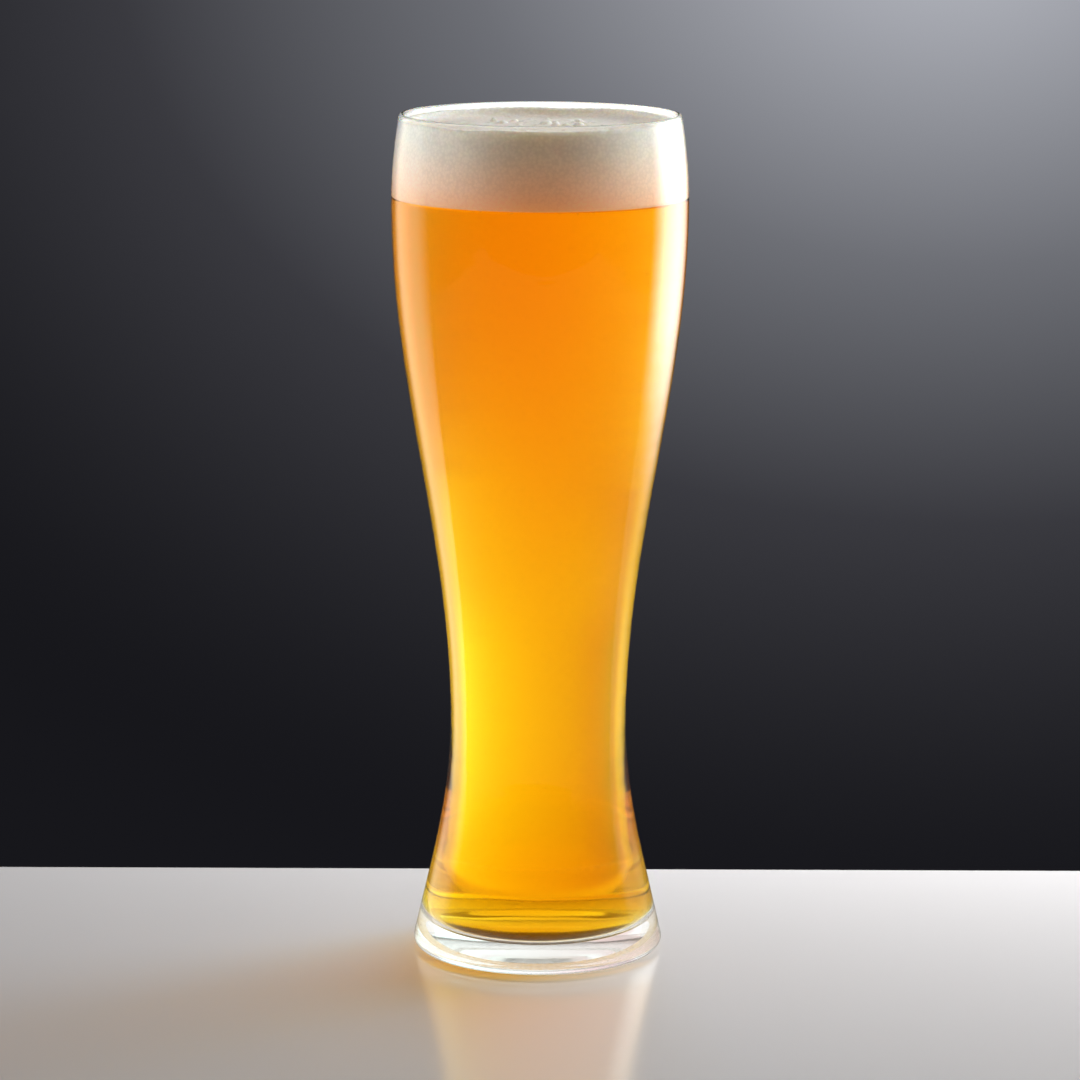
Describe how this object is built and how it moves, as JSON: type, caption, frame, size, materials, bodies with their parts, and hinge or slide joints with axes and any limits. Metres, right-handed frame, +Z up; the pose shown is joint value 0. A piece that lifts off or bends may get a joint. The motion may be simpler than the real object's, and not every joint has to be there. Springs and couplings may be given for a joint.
{
  "type": "lager glass",
  "caption": "Tall waisted lager glass with a rounded lip and a thick clear base, poured full of golden lager under a head of cream foam.",
  "frame": {"origin": "centre of the ring that the glass stands on, at the height of the surface under it", "axes": "+Z up along the axis of the glass, -Y towards the viewer of the picture, +X to that viewer's right"},
  "size_m": [0.0818, 0.0818, 0.235],
  "materials": {
    "clear_glass": "polished",
    "lager": "gloss",
    "foam": "matte"
  },
  "bodies": {
    "vessel": {"glass": "clear_glass"},
    "contents": {"lager": "lager", "foam_head": "foam"}
  },
  "joints": [
    {"name": "swirl", "type": "hinge", "parent": "vessel", "child": "contents", "pos_m": [0, 0, 0.12], "axis": [0, 0, 1], "continuous": true}
  ]
}
